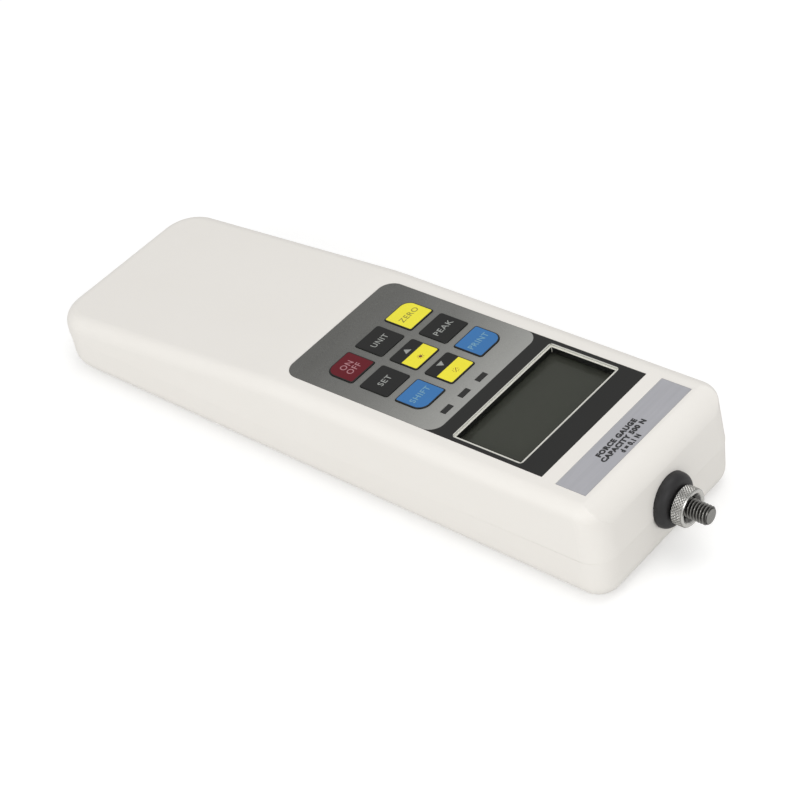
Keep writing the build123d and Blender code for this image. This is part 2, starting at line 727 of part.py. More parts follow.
def make_main_board():
    board = rounded_plate(BOARD_LENGTH, BOARD_WIDTH, BOARD_THICK, -BOARD_DEPTH, BOARD_CORNER_R)
    for u, v in board_posts():
        board -= Pos(u, v, 0) * column(BOARD_SCREW_R + BOARD_HOLE_CLEAR, -2 * BOARD_DEPTH, 0)
    return PANEL * board


def make_board_screws():
    screws = Part()
    under = -BOARD_DEPTH - BOARD_THICK
    for u, v in board_posts():
        tip = under + BOARD_THICK + BOARD_SCREW_BITE
        screw = column(BOARD_SCREW_R * CORE_SHARE, under, tip)
        screw += column(BOARD_SCREW_R * 2, under - BOARD_SCREW_HEAD, under)
        screws += PANEL * (Pos(u, v, 0) * screw)
    return screws


def make_key_switches():
    """Tact switches on the main board, one under each key."""
    switches = Part()
    for name, u, v, corner in key_grid():
        top = -BOARD_DEPTH + SWITCH_HEIGHT
        switch = rounded_plate(SWITCH_SIZE, SWITCH_SIZE, SWITCH_HEIGHT, top)
        switch += column(SWITCH_BUTTON_R, top, top + SWITCH_BUTTON_HEIGHT)
        switches += PANEL * (Pos(u, v, 0) * switch)
    return switches


def make_board_parts():
    """Processor, amplifier and buzzer under the main board."""
    under = -BOARD_DEPTH - BOARD_THICK
    board_parts = column(BUZZER_R, under - BUZZER_HEIGHT, under, *BUZZER)
    for u, v, length, width in CHIPS:
        board_parts += Pos(u, v, 0) * rounded_plate(length, width, CHIP_HEIGHT, under)
    return PANEL * board_parts


def make_capacity_label():
    return PANEL * (Pos(LABEL_U, 0, 0) * label_sheet(0, 0))


# ---- Force path --------------------------------------------------------------------------


def make_load_cell():
    """S-beam cell: two opposed slots and a pair of joined eyes make the bending beams."""
    middle_x = CELL_START_X + CELL_LENGTH / 2
    cell = Box(CELL_LENGTH, CELL_WIDTH, CELL_THICK)
    slot_length = CELL_WIDTH - CELL_BRIDGE
    for side in (-1, 1):
        slot = Box(CELL_SLOT, slot_length, 2 * CELL_THICK)
        slot = fillet(slot.edges().filter_by(Axis.Z), CELL_SLOT * 0.45)
        along = side * (CELL_LENGTH / 2 - CELL_SLOT_INSET - CELL_SLOT / 2)
        cell -= Pos(along, -side * (CELL_BRIDGE / 2 + CELL_SLOT), 0) * slot
        cell -= Pos(0, side * CELL_EYE_PITCH / 2, 0) * Cylinder(CELL_EYE_R, 2 * CELL_THICK)
    cell -= Box(CELL_EYE_SLOT, CELL_EYE_PITCH, 2 * CELL_THICK)
    cell = chamfer(cell.faces().sort_by(Axis.Z)[-1].outer_wire().edges(), 0.4)
    cell = Pos(middle_x, 0, AXIS_Z) * cell
    cell -= rod(STEM_R + STEM_CLEAR, CELL_END_X - CELL_SLOT_INSET, CELL_END_X)
    hole_end = CELL_START_X + BOLT_GRIP + BOLT_HOLE_EXTRA
    return cell - rod(BOLT_R + BOLT_CELL_CLEAR, CELL_START_X, hole_end)


def chassis_screw_places():
    half_y = PLATE_WIDTH / 2 - CHASSIS_SCREW_INSET
    along = (PLATE_START_X + CHASSIS_SCREW_INSET, PLATE_END_X - CHASSIS_SCREW_INSET)
    return [(x, side * half_y) for x in along for side in (-1, 1)]


def make_chassis():
    """Machined chassis: a floor plate with four tapped bosses and the load cell's post."""
    plate_top = PLATE_Z + PLATE_THICK
    length = PLATE_END_X - PLATE_START_X
    plate = rounded_plate(length, PLATE_WIDTH, PLATE_THICK, plate_top, PLATE_CORNER_R)
    chassis = Pos((PLATE_START_X + PLATE_END_X) / 2, 0, 0) * plate
    post_top = AXIS_Z + CELL_THICK / 2
    height = post_top - PLATE_Z
    post = Box(POST_THICK, POST_WIDTH, height, align=(Align.CENTER, Align.CENTER, Align.MIN))
    chassis += Pos(POST_X, 0, PLATE_Z) * post
    foot_x = CELL_START_X - POST_THICK
    toe_x = foot_x - GUSSET_REACH
    gusset = ((foot_x, PLATE_Z), (toe_x, PLATE_Z), (toe_x, plate_top),
              (foot_x, AXIS_Z - BOLT_HEAD_R - GUSSET_THICK / 2))
    for side in (-1, 1):
        web = side_prism(gusset, GUSSET_THICK / 2)
        chassis += Pos(0, side * (POST_WIDTH - GUSSET_THICK) / 2, 0) * web
    for x, y in mount_places():
        top = plate_top + MOUNT_BOSS_TOP
        chassis += column(MOUNT_BOSS_R, MOUNT_BOSS_RECESS, top, x, y)
        chassis -= column(MOUNT_HOLE_R, -1, top + 1, x, y)
    for x, y in chassis_screw_places():
        chassis -= column(CHASSIS_SCREW_R + CHASSIS_SCREW_CLEAR, 0, plate_top + 1, x, y)
    return chassis - rod(BOLT_R + BOLT_POST_CLEAR, foot_x - 1, CELL_START_X + 1)


def make_cell_bolt():
    """Hexagon bolt through the post into the fixed end of the load cell."""
    head_x = CELL_START_X - POST_THICK
    head = extrude(Plane.YZ * RegularPolygon(BOLT_HEAD_R, 6), BOLT_HEAD)
    bolt = Pos(head_x - BOLT_HEAD, 0, AXIS_Z) * head
    return bolt + rod(BOLT_R, head_x, CELL_START_X + BOLT_GRIP)


def make_chassis_screws():
    """Screws that hold the chassis plate down on the rear shell."""
    screws = Part()
    top = PLATE_Z + PLATE_THICK
    for x, y in chassis_screw_places():
        screws += column(CHASSIS_SCREW_R, WALL - CHASSIS_SCREW_BITE, top, x, y)
        screws += column(CHASSIS_SCREW_R * 2, top, top + CHASSIS_SCREW_HEAD, x, y)
    return screws


def make_measuring_shaft():
    """Shaft from the load cell through the bushing, ending in the threaded stud."""
    shaft = rod(STEM_R, CELL_END_X - STEM_LENGTH, COLLAR_X)
    collar = extrude(Plane.YZ * RegularPolygon(COLLAR_R, 6), COLLAR_THICK)
    shaft += Pos(COLLAR_X, 0, AXIS_Z) * collar
    shoulder_x = NUT_BACK_X + NUT_THICK + SHOULDER_PROUD
    body = rod(SHAFT_R, COLLAR_X + COLLAR_THICK, shoulder_x)
    shaft += chamfer(body.edges().group_by(Axis.X)[-1], SHOULDER_CHAMFER)
    stud = rod(STUD_R, shoulder_x, STUD_TIP_X)
    stud = chamfer(stud.edges().group_by(Axis.X)[-1], STUD_CHAMFER)
    return shaft + stud


def make_lock_nut():
    """Round lock nut with a countersunk mouth."""
    nut = rod(NUT_R, NUT_BACK_X, NUT_BACK_X + NUT_THICK)
    rims = nut.edges().filter_by(GeomType.CIRCLE)
    nut = chamfer(rims, NUT_CHAMFER)
    nut -= rod(SHAFT_R + NUT_CLEAR, NUT_BACK_X - 1, NUT_BACK_X + NUT_THICK + 1)
    mouth = Cone(SHAFT_R, NUT_MOUTH_R, NUT_MOUTH, align=(Align.CENTER, Align.CENTER, Align.MIN))
    mouth_x = NUT_BACK_X + NUT_THICK - NUT_MOUTH
    return nut - Pos(mouth_x, 0, AXIS_Z) * Rot(0, 90, 0) * mouth


def make_rubber_bushing():
    """Grommet with a domed outer flange, gripped by the end walls of both shells."""
    dome = rod(BUSH_FLANGE_R, END_FACE_X - WALL / 2, BUSH_FACE_X)
    front = dome.edges().filter_by(GeomType.CIRCLE).group_by(Axis.X)[-1]
    dome = fillet(front, BUSH_DOME_R)
    dome -= upper_form(-BUSH_SEAT_GAP) + lower_form(-BUSH_SEAT_GAP)
    bush = dome + rod(BUSH_NECK_R, BUSH_NECK_X, END_FACE_X + BUSH_PROUD / 2)
    bush += rod(BUSH_INNER_FLANGE_R, BUSH_BACK_X, BUSH_NECK_X)
    return bush - rod(SHAFT_R + SHAFT_CLEAR, BUSH_BACK_X - 1, BUSH_FACE_X + 1)


# ---- Power and sockets -------------------------------------------------------------------


def battery_places():
    return [BATTERY_LAST_X - BATTERY_PITCH * index for index in range(CELL_COUNT)]


def make_battery_cells():
    cells = Part()
    for x in battery_places():
        cell = Cylinder(BATTERY_R, BATTERY_LENGTH)
        cell = fillet(cell.edges(), BATTERY_EDGE_R)
        cells += Pos(x, 0, BATTERY_Z) * Rot(90, 0, 0) * cell
    return cells


def make_battery_tray():
    """Open tray with a wall all round the pack."""
    length = BATTERY_LAST_X - BATTERY_FIRST_X + 2 * TRAY_MARGIN
    width = BATTERY_LENGTH + 2 * (TRAY_CLEAR + LINK_ROOM + TRAY_WALL)
    top = WALL + TRAY_SEAT_GAP + TRAY_HEIGHT
    tray = rounded_plate(length, width, TRAY_HEIGHT, top, TRAY_CORNER_R)
    tray = fillet(tray.edges().group_by(Axis.Z)[0], TRAY_EDGE_R)
    tray -= rounded_plate(
        length - 2 * TRAY_WALL, width - 2 * TRAY_WALL, TRAY_HEIGHT, top + TRAY_FLOOR
    )
    return Pos((BATTERY_FIRST_X + BATTERY_LAST_X) / 2, 0, 0) * tray


def make_battery_links():
    """Nickel tabs that join the cells in series."""
    links = Part()
    places = battery_places()
    for index in range(CELL_COUNT - 1):
        middle_x = (places[index] + places[index + 1]) / 2
        side = 1 if index % 2 else -1
        y = side * (BATTERY_LENGTH + LINK_THICK) / 2
        link = Box(BATTERY_PITCH + 2 * LINK_LAP, LINK_THICK, LINK_WIDTH)
        links += Pos(middle_x, y, BATTERY_Z) * link
    return links


def make_socket_board():
    board = rounded_plate(
        SOCKET_BOARD_LENGTH, SOCKET_BOARD_WIDTH, BOARD_THICK, SOCKET_BOARD_Z + BOARD_THICK
    )
    return Pos(SOCKET_BOARD_X + SOCKET_BOARD_LENGTH / 2, 0, 0) * board


def make_data_socket():
    """Nine-way socket: flange inside the wall and a shell that ends flush with it."""
    z = SOCKET_BOARD_Z + BOARD_THICK + DATA_RISE
    flange_x = HANDLE_END_X + WALL + SOCKET_INSET
    flange = Box(DATA_FLANGE_THICK, *DATA_FLANGE, align=(Align.MIN, Align.CENTER, Align.CENTER))
    flange = fillet(flange.edges().filter_by(Axis.X), 1.0)
    socket = Pos(flange_x, DATA_Y, z) * flange
    half_y, half_z = DATA_SHELL[0] / 2, DATA_SHELL[1] / 2
    shell_face = make_face(
        Polyline((-half_y, half_z), (half_y, half_z), (half_y - DATA_SHELL_TAPER, -half_z),
                 (DATA_SHELL_TAPER - half_y, -half_z), close=True)
    )
    shell_face = fillet(shell_face.vertices(), DATA_SHELL_CORNER_R)
    mouth_x = HANDLE_END_X + SOCKET_RECESS
    shell = extrude(Plane.YZ * shell_face, flange_x - mouth_x)
    socket += Pos(mouth_x, DATA_Y, z) * shell
    body = Box(DATA_BODY_DEPTH, DATA_SHELL[0], DATA_SHELL[1] + DATA_BODY_EXTRA,
               align=(Align.MIN, Align.CENTER, Align.CENTER))
    body_x = flange_x + DATA_FLANGE_THICK
    socket += Pos(body_x, DATA_Y, z) * body
    for side in (-1, 1):
        y = DATA_Y + side * DATA_SCREW_PITCH / 2
        socket -= rod(STANDOFF_STEM_R + 0.1, flange_x - 1, body_x + 1, y, z)
    return socket


def make_socket_nuts():
    """Hexagon standoffs beside the data socket."""
    z = SOCKET_BOARD_Z + BOARD_THICK + DATA_RISE
    flange_x = HANDLE_END_X + WALL + SOCKET_INSET
    nuts = Part()
    for side in (-1, 1):
        y = DATA_Y + side * DATA_SCREW_PITCH / 2
        back_x = flange_x + DATA_FLANGE_THICK
        nut = extrude(Plane.YZ * RegularPolygon(STANDOFF_R, 6), STANDOFF_LENGTH)
        nuts += Pos(back_x, y, z) * nut
        nuts += rod(STANDOFF_STEM_R, flange_x, back_x + STANDOFF_STEM, y, z)
    return nuts


def make_charging_socket():
    """Barrel socket with its centre pin."""
    z = SOCKET_BOARD_Z + BOARD_THICK + JACK_RISE
    inner_x = HANDLE_END_X + WALL + SOCKET_INSET
    body = Box(*JACK_BODY, align=(Align.MIN, Align.CENTER, Align.CENTER))
    socket = Pos(inner_x, JACK_Y, z) * body
    socket += rod(JACK_R, HANDLE_END_X + SOCKET_RECESS, inner_x, JACK_Y, z)
    socket -= rod(JACK_BORE_R, HANDLE_END_X, inner_x + JACK_DEPTH, JACK_Y, z)
    pin_x = HANDLE_END_X + SOCKET_RECESS + JACK_PIN_SET
    return socket + rod(JACK_PIN_R, pin_x, inner_x + JACK_DEPTH + JACK_PIN_R / 2, JACK_Y, z)


# ---- Export ------------------------------------------------------------------------------

os.makedirs("parts", exist_ok=True)
parts = {
    "top_cover": make_top_cover(),
    "rear_cover": make_rear_cover(),
    "housing_screws": make_housing_screws(),
    "keypad_overlay": make_keypad_overlay(),
    "display_window": make_display_window(),
    "indicator_windows": make_indicator_windows(),
    "indicator_lamps": make_indicator_lamps(),
    "lcd_glass": make_lcd_glass(),
    "lcd_frame": make_lcd_frame(),
    "lcd_connectors": make_lcd_connectors(),
    "main_board": make_main_board(),
    "board_screws": make_board_screws(),
    "board_parts": make_board_parts(),
    "key_switches": make_key_switches(),
    "capacity_label": make_capacity_label(),
    "load_cell": make_load_cell(),
    "chassis": make_chassis(),
    "chassis_screws": make_chassis_screws(),
    "cell_bolt": make_cell_bolt(),
    "measuring_shaft": make_measuring_shaft(),
    "lock_nut": make_lock_nut(),
    "rubber_bushing": make_rubber_bushing(),
    "battery_cells": make_battery_cells(),
    "battery_tray": make_battery_tray(),
    "battery_links": make_battery_links(),
    "socket_board": make_socket_board(),
    "data_socket": make_data_socket(),
    "socket_nuts": make_socket_nuts(),
    "charging_socket": make_charging_socket(),
}
for name, u, v, corner in key_grid():
    parts[name] = make_key(u, v, corner)
for name, part in parts.items():
    part.label = name
    export_step(part, f"parts/{name}.step")
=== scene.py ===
import math

import bmesh
import bpy
from mathutils import Matrix, Vector


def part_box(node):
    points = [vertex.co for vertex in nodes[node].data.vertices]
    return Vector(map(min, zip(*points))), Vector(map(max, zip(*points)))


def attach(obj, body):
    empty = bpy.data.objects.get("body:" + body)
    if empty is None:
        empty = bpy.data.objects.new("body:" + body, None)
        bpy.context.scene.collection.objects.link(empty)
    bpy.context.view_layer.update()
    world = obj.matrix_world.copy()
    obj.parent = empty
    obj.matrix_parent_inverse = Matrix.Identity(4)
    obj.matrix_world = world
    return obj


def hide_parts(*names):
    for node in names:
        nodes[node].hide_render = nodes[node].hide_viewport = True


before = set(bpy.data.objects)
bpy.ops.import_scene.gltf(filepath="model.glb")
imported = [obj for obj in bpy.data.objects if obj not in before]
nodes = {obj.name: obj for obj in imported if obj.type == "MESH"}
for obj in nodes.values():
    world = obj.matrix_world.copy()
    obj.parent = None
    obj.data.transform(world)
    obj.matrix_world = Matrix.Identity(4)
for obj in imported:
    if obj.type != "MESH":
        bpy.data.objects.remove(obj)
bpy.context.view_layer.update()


# Viewpoint: a long lens 0.8 m away, looking down on the stud end and the near long side of
# the gauge. Its axes are squared up, because they are written to four places only.
eye = Vector((0.4358, -0.4251, 0.5202))
eye_right = Vector((0.7700, 0.6234, -0.1359)).normalized()
eye_back = Vector((0.5473, -0.5358, 0.6430)).normalized()
eye_up = eye_back.cross(eye_right).normalized()
eye_right = eye_up.cross(eye_back).normalized()
camera = bpy.data.objects.new("camera", bpy.data.cameras.new("camera"))
camera.data.sensor_width = 36.0
camera.data.lens = 117.8
camera.data.clip_start = 0.01
camera.matrix_world = Matrix.Translation(eye) @ Matrix(
    (eye_right, eye_up, eye_back)
).transposed().to_4x4()
bpy.context.scene.collection.objects.link(camera)
bpy.context.scene.camera = camera


# Housing: two shells moulded in off-white ABS with a very fine spark-eroded texture.
# The upper one carries the panel, the lower one the flat back, and they meet in a
# tongue-and-rebate seam that shows as a hairline.
class Wire:
    """A shader socket that can be added, multiplied and so on like a number."""

    def __init__(self, tree, socket):
        self.tree = tree
        self.socket = socket

    def math(self, operation, *values, clamp=False):
        return node(self.tree, "ShaderNodeMath", values, operation=operation, use_clamp=clamp)

    def __add__(self, other):
        return self.math("ADD", self, other)

    __radd__ = __add__

    def __sub__(self, other):
        return self.math("SUBTRACT", self, other)

    def __rsub__(self, other):
        return self.math("SUBTRACT", other, self)

    def __mul__(self, other):
        return self.math("MULTIPLY", self, other)

    __rmul__ = __mul__

    def __truediv__(self, other):
        return self.math("DIVIDE", self, other)

    def __abs__(self):
        return self.math("ABSOLUTE", self)

    def low(self, other):
        return self.math("MINIMUM", self, other)

    def high(self, other):
        return self.math("MAXIMUM", self, other)

    def root(self):
        return self.math("SQRT", self)

    def below(self, edge, soft):
        """1 where this is under edge, 0 above it, over a soft border."""
        return self.math("MULTIPLY_ADD", self, -1 / soft, edge / soft + 0.5, clamp=True)


def node(tree, kind, values=(), output=0, **settings):
    """Adds a node: first its settings, then the values or wires of its sockets."""
    made = tree.nodes.new(kind)
    for name, value in settings.items():
        setattr(made, name, value)
    pairs = values.items() if isinstance(values, dict) else enumerate(values)
    for key, value in pairs:
        if isinstance(value, Wire):
            tree.links.new(value.socket, made.inputs[key])
        else:
            made.inputs[key].default_value = value
    return Wire(tree, made.outputs[output])


def linear(red, green, blue):
    """A screen colour, 0 to 255, as the light values the shader works in."""
    parts = [
        c / 12.92 if c <= 0.04045 else ((c + 0.055) / 1.055) ** 2.4
        for c in (red / 255, green / 255, blue / 255)
    ]
    return (*parts, 1.0)


def mixed(tree, amount, first, second):
    """first where amount is 0, second where it is 1, as a colour.

    The node has sockets for each kind of value: inputs 6 and 7 and output 2 are colours.
    """
    return node(
        tree,
        "ShaderNodeMix",
        {0: amount, 6: first, 7: second},
        output=2,
        data_type="RGBA",
    )


def finish_of(name, **constants):
    """A new material with its shader's constant sockets set; returns it with its tree."""
    material = bpy.data.materials.new(name)
    material.use_nodes = True
    shader = material.node_tree.nodes["Principled BSDF"]
    for socket, value in constants.items():
        shader.inputs[socket.replace("_", " ")].default_value = value
    return material, material.node_tree, shader


def own_place(tree):
    """Where a point lies in its own object, in metres."""
    return node(tree, "ShaderNodeTexCoord", output="Object")


def noise(tree, scale, detail=2.0, roughness=0.5, stretch=(1, 1, 1)):
    """Soft patches from 0 to 1; a stretch under 1 draws them out along that axis."""
    where = node(tree, "ShaderNodeMapping", {"Vector": own_place(tree), "Scale": stretch})
    return node(
        tree,
        "ShaderNodeTexNoise",
        {"Vector": where, "Scale": scale, "Detail": detail, "Roughness": roughness},
    )


def feed(tree, shader, **links):
    """Links wires to a shader's sockets, named with _ for each space."""
    for socket, wire in links.items():
        tree.links.new(wire.socket, shader.inputs[socket.replace("_", " ")])


def bump(tree, height, depth, strength):
    """The surface's slope where height, from 0 to 1, stands up by depth in metres."""
    return node(
        tree,
        "ShaderNodeBump",
        {"Strength": strength, "Distance": depth, "Height": height},
    )


def dress(name, material):
    """Gives a CAD node its finish."""
    slots = nodes[name].data.materials
    if len(slots) == 0:
        slots.append(material)
    for i in range(len(slots)):
        slots[i] = material


housing_white, tree, shader = finish_of("housing_white", IOR=1.5)
grain = noise(tree, 2600.0, detail=3.0)
flow = noise(tree, 22.0, stretch=(0.4, 1, 1))
handled = noise(tree, 60.0, detail=5.0, roughness=0.62)
tint = mixed(tree, flow * 0.5 + handled * 0.3, linear(235, 232, 227), linear(229, 225, 218))
feed(
    tree,
    shader,
    Base_Color=tint,
    Roughness=handled * 0.16 + flow * 0.08 + 0.36,
    Normal=bump(tree, grain, 0.00003, 0.35),
)
dress("top_cover", housing_white)
dress("rear_cover", housing_white)


# Housing screws: four zinc-plated cross-head screws, driven in from the back. They are
# sunk in counterbores and hold the two shells together.
def dimmed(colour, share):
    """The colour with only a share of its light."""
    return (*[c * share for c in colour[:3]], 1.0)


def plated(name, colour, rough, grain_size=900.0, stretch=(1, 1, 1), painted_shade=None):
    """Bright metal with a fine grain; stretch draws the grain out into brush lines.

    Its last argument, from the material's tree, is 1 where the metal is painted dark as shade in
    its cuts and bore.
    """
    material, tree, shader = finish_of(name, Metallic=1.0)
    lines = noise(tree, grain_size, detail=4.0, stretch=stretch)
    cloud = noise(tree, 130.0, detail=3.0)
    metal = mixed(tree, cloud * 0.6 + lines * 0.3, colour, dimmed(colour, 0.72))
    # Where that wire is 1, the metal is painted near-black as shade.
    if painted_shade:
        metal = mixed(tree, painted_shade(tree), metal, linear(24, 23, 22))
    feed(
        tree,
        shader,
        Base_Color=metal,
        Roughness=lines * 0.18 + cloud * 0.08 + rough - 0.1,
        Normal=bump(tree, lines, 0.00002, 0.3),
    )
    return material


dress("housing_screws", plated("screw_zinc", linear(188, 188, 184), 0.34))


# Keypad overlay: one polyester film, printed from behind in metallic grey round the keys
# and in black round the display, which a fine pale line frames. The grey field has
# rounded corners on the black.
panel_rise = math.radians(1.8)
panel_u = Vector((math.cos(panel_rise), 0, math.sin(panel_rise)))
panel_v = Vector((0, 1, 0))
panel_out = panel_u.cross(panel_v)
panel_centre = Vector((0.0286, 0, 0.0322556))


def split(tree, vector):
    """The x, y and z of a vector, each as a wire of its own."""
    made = node(tree, "ShaderNodeSeparateXYZ", [vector]).socket.node
    return [Wire(tree, socket) for socket in made.outputs]


def on_panel(tree):
    """How far along, across and above the panel's surface a point lies."""
    x, y, z = split(tree, own_place(tree))
    x, z = x - panel_centre.x, z - panel_centre.z
    return x * panel_u.x + z * panel_u.z, y, x * panel_out.x + z * panel_out.z


def outside(u, v, centre, half, corner):
    """Distance of a printed point outside a rounded rectangle, negative within it."""
    along = abs(u - centre[0]) - (half[0] - corner)
    across = abs(v - centre[1]) - (half[1] - corner)
    past_u, past_v = along.high(0), across.high(0)
    return (past_u * past_u + past_v * past_v).root() + along.high(across).low(0) - corner


def film_grain(tree):
    """The fine matt grain of the film's face."""
    return bump(tree, noise(tree, 1500.0), 0.00002, 0.18)


window_low, window_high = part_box("display_window")
window_middle = (window_low + window_high) / 2 - panel_centre
window_place = (window_middle.dot(panel_u), window_middle.y)
window_half = ((window_high.x - window_low.x) / 2, (window_high.y - window_low.y) / 2)
window_corner = 0.0008
line_width = 0.00040
grey_left, grey_right = -0.0484, 0.0100
grey_place = ((grey_left + grey_right) / 2, 0)
grey_half = ((grey_right - grey_left) / 2, 0.0252)
grey_corner = 0.0046
soft_edge, sharp_edge = 0.00008, 0.00006
overlay_film, tree, shader = finish_of("overlay_film", Specular_IOR_Level=0.28)
u, v, _ = on_panel(tree)
field = outside(u, v, grey_place, grey_half, grey_corner).below(0, soft_edge)
flake = noise(tree, 5200.0)
wiped = noise(tree, 48.0, detail=4.0, roughness=0.6, stretch=(1, 0.35, 1))
# The grey is painted darker towards the handle and lighter towards the display: a painted
# reflection across the metallic ink.
painted_reflection_ramp = ((u - grey_left) / (grey_right - grey_left)).high(0).low(1)
shade = flake * 0.42 + wiped * 0.16 + (1 - painted_reflection_ramp * painted_reflection_ramp) * 0.56
grey = mixed(tree, shade, linear(186, 186, 182), linear(78, 78, 75))
black = mixed(tree, wiped, linear(36, 36, 34), linear(27, 27, 26))
line = outside(u, v, window_place, window_half, window_corner).below(line_width, sharp_edge)
feed(
    tree,
    shader,
    Base_Color=mixed(tree, line, mixed(tree, field, black, grey), linear(206, 205, 198)),
    Metallic=field * 0.35,
    Roughness=wiped * 0.12 + field * 0.06 + 0.24,
    Normal=film_grain(tree),
)
dress("keypad_overlay", overlay_film)


# Keys: nine pads embossed in the film, each printed in its own colour with a thin dark
# border. The pad at each corner of the block has its outer corner rounded.
key_pitch = (0.01345, 0.01395)
key_first = (-0.0313, 0.01415)
key_half = (0.0054, 0.0056)
key_corner, key_round = 0.0009, 0.0036
key_border = 0.00042
key_top = 0.0003
two_tone_step = -0.0007
yellow = linear(243, 233, 62)
black_ink = linear(27, 27, 26)
blue = linear(56, 116, 176)
dark_red = linear(98, 0, 20)
# Each pad's name, column, row and ink, and on which sides its outer corner lies.
keypad = (
    ("key_zero", 0, 0, yellow, (-1, 1)),
    ("key_unit", 0, 1, black_ink, None),
    ("key_power", 0, 2, dark_red, (-1, -1)),
    ("key_peak", 1, 0, black_ink, None),
    ("key_up", 1, 1, black_ink, None),
    ("key_set", 1, 2, black_ink, None),
    ("key_print", 2, 0, blue, (1, 1)),
    ("key_down", 2, 1, black_ink, None),
    ("key_shift", 2, 2, blue, (1, -1)),
)


def key_centre(column, row):
    """Where a pad lies, along and across the panel."""
    return key_first[0] + column * key_pitch[0], key_first[1] - row * key_pitch[1]


def key_film(name, centre, ink, round_corner, two_tone):
    """The printed face of one pad, in its border; a two-tone pad is part yellow."""
    material, tree, shader = finish_of(name + "_film", Specular_IOR_Level=0.28)
    u, v, _ = on_panel(tree)
    edge = outside(u, v, centre, key_half, key_corner)
    if round_corner:
        shifted = [c - key_round * side for c, side in zip(centre, round_corner)]
        large = [h + key_round for h in key_half]
        edge = edge.high(outside(u, v, shifted, large, key_round))
    print_area = edge.below(-key_border, 0.00010)
    worn = noise(tree, 75.0, detail=5.0, roughness=0.6)
    colour = mixed(tree, worn, ink, dimmed(ink, 0.86))
    if two_tone:
        light_part = 1 - (u - centre[0]).below(two_tone_step, soft_edge)
        colour = mixed(tree, light_part, colour, mixed(tree, worn, yellow, linear(232, 220, 52)))
    border = linear(22, 23, 21)
    feed(
        tree,
        shader,
        Base_Color=mixed(tree, print_area, border, colour),
        Roughness=worn * 0.14 + 0.25,
        Normal=film_grain(tree),
    )
    return material


for name, column, row, ink, round_corner in keypad:
    two_tone = name in ("key_up", "key_down")
    dress(name, key_film(name, key_centre(column, row), ink, round_corner, two_tone))


# Legends: the words and signs printed on the pads. They read from the near side, with
# their tops towards the handle.
legend_thick = 0.00002
legend_lift = legend_thick * 0.4  # the middle of the ink; a tenth of it is sunk in the film
legend_weight, legend_spread = 0.008, 1.12


def on_surface(u, v, height):
    """Turns flat artwork to lie on the panel with its top towards the handle."""
    origin = panel_centre + panel_u * u + panel_v * v + panel_out * height
    laid = Matrix((panel_v, -panel_u, panel_out)).transposed().to_4x4()
    return Matrix.Translation(origin) @ laid


def ink_finish(name, colour):
    """Screen-printed ink, a little thin in places."""
    material, tree, shader = finish_of(name, IOR=1.5)
    patchy = noise(tree, 900.0, detail=4.0, roughness=0.65)
    printed = mixed(tree, patchy, colour, dimmed(colour, 0.8))
    feed(tree, shader, Base_Color=printed, Roughness=patchy * 0.2 + 0.3)
    return material


def keep(name, mesh, material, body):
    """Puts a finished mesh in the scene on its body."""
    mesh.name = name
    mesh.materials.clear()
    mesh.materials.append(material)
    piece = bpy.data.objects.new(name, mesh)
    bpy.context.scene.collection.objects.link(piece)
    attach(piece, body)
    return piece


def lettering(words, size, place, weight, spread):
    """Words as a thin solid, fitted to a width and a height and put in place."""
    raw_half = 0.01
    curve = bpy.data.curves.new("words", "FONT")
    curve.body = words
    curve.align_x = "CENTER"
    curve.space_character = spread
    curve.space_line = 0.92
    curve.offset = weight
    curve.resolution_u = 3
    curve.extrude = raw_half
    holder = bpy.data.objects.new("words", curve)
    bpy.context.scene.collection.objects.link(holder)
    evaluated = holder.evaluated_get(bpy.context.evaluated_depsgraph_get())
    mesh = bpy.data.meshes.new_from_object(evaluated)
    bpy.data.objects.remove(holder)
    low = Vector([min(p.co[i] for p in mesh.vertices) for i in range(3)])
    high = Vector([max(p.co[i] for p in mesh.vertices) for i in range(3)])
    middle = (low + high) / 2
    wide, tall = size[0] / (high.x - low.x), size[1] / (high.y - low.y)
    fitted = Matrix.Diagonal((wide, tall, legend_thick / (2 * raw_half), 1))
    mesh.transform(place @ fitted @ Matrix.Translation(-middle))
    return mesh


def flat_shapes(outlines, place):
    """Closed thin plates, one for each outline."""
    shapes = bmesh.new()
    for outline in outlines:
        lower = [shapes.verts.new((x, y, -legend_thick / 2)) for x, y in outline]
        upper = [shapes.verts.new((x, y, legend_thick / 2)) for x, y in outline]
        shapes.faces.new(list(reversed(lower)))
        shapes.faces.new(upper)
        for i in range(len(outline)):
            j = (i + 1) % len(outline)
            shapes.faces.new((lower[i], lower[j], upper[j], upper[i]))
    bmesh.ops.transform(shapes, matrix=place, verts=shapes.verts)
    mesh = bpy.data.meshes.new("shapes")
    shapes.to_mesh(mesh)
    shapes.free()
    return mesh


def disc(radius, sides):
    """A round outline about the middle."""
    turns = [math.tau * i / sides for i in range(sides)]
    return [(radius * math.cos(a), radius * math.sin(a)) for a in turns]


def bar(length, width, start, angle):
    """A short line that points outwards, from a distance off the middle."""
    corners = ((start, -width / 2), (start + length, -width / 2))
    corners += ((start + length, width / 2), (start, width / 2))
    c, s = math.cos(angle), math.sin(angle)
    return [(x * c - y * s, x * s + y * c) for x, y in corners]


pale_ink = ink_finish("legend_pale", linear(158, 160, 156))
olive_ink = ink_finish("legend_olive", linear(150, 142, 52))
sky_ink = ink_finish("legend_sky", linear(116, 164, 188))
rose_ink = ink_finish("legend_rose", linear(176, 122, 128))
brown_ink = ink_finish("legend_brown", linear(120, 62, 40))
